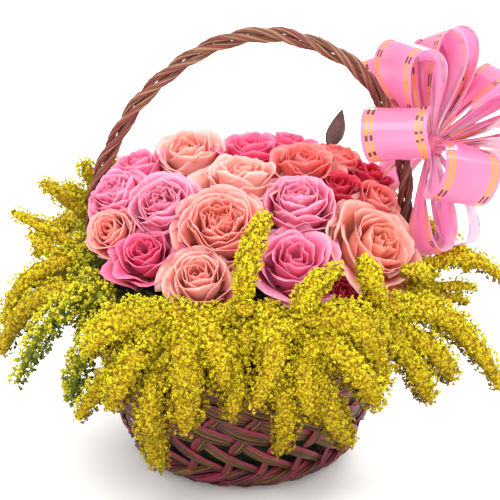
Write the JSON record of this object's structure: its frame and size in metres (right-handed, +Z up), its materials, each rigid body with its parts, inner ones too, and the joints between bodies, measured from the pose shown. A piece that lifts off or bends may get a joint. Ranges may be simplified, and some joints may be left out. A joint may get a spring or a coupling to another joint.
{
  "type": "flower basket arrangement",
  "caption": "Round woven basket with a twisted hoop handle, filled with roses in wet foam under a collar of goldenrod, with a pulled ribbon bow on the handle",
  "frame": {"origin": "the middle of the basket's flat underside, on the surface it stands on", "axes": "+Z up, -Y the front of the arrangement, +X the side that carries the bow"},
  "size_m": [0.4143, 0.3385, 0.3608],
  "materials": {
    "wicker": "split cane, part dyed magenta, thin varnish",
    "cane": "twisted split cane, part dyed dark red, thin varnish",
    "liner": "thin dark green plastic",
    "foam": "wet green floral foam, fine open cells",
    "rose_coral": "soft fresh petals, coral, matte with a faint sheen",
    "rose_pink": "soft fresh petals, pink, matte with a faint sheen",
    "goldenrod": "small fluffy yellow flowers on green stems",
    "leaf": "dark bronze-green waxy leaf",
    "ribbon": "pink satin ribbon with gold stripes near both edges"
  },
  "bodies": {
    "root": {"basket_floor": "wicker", "basket_foot": "wicker", "basket_wall": "wicker", "basket_rim": "wicker", "handle_cane_a": "cane", "handle_cane_b": "cane", "handle_cane_c": "cane", "liner": "liner", "bow_tie": "ribbon", "bow_ribbon": "ribbon", "rose_01": "rose_coral", "rose_02": "rose_pink", "rose_03": "rose_pink", "rose_04": "rose_coral", "rose_05": "rose_coral", "rose_06": "rose_pink", "rose_07": "rose_pink", "rose_08": "rose_coral", "rose_09": "rose_coral", "rose_10": "rose_pink", "rose_11": "rose_pink", "rose_12": "rose_pink", "rose_13": "rose_pink", "rose_14": "rose_coral", "rose_15": "rose_coral", "rose_16": "rose_pink", "rose_17": "rose_coral", "rose_18": "rose_pink", "rose_19": "rose_coral", "rose_20": "rose_pink", "rose_21": "rose_pink", "rose_22": "rose_coral", "rose_23": "rose_pink", "rose_24": "rose_coral", "rose_25": "rose_coral", "rose_26": "rose_pink", "rose_27": "rose_coral", "rose_28": "rose_pink", "rose_29": "rose_pink", "rose_30": "rose_coral", "rose_31": "rose_pink", "rose_32": "rose_coral", "rose_33": "rose_pink", "leaf_sprig_01": "leaf", "leaf_sprig_02": "leaf", "goldenrod_01": "goldenrod", "goldenrod_02": "goldenrod", "goldenrod_03": "goldenrod", "goldenrod_04": "goldenrod", "goldenrod_05": "goldenrod", "goldenrod_06": "goldenrod", "goldenrod_07": "goldenrod", "goldenrod_08": "goldenrod", "goldenrod_09": "goldenrod", "goldenrod_10": "goldenrod", "goldenrod_11": "goldenrod", "goldenrod_12": "goldenrod", "goldenrod_13": "goldenrod", "goldenrod_14": "goldenrod", "floral_foam": "foam"}
  },
  "joints": []
}
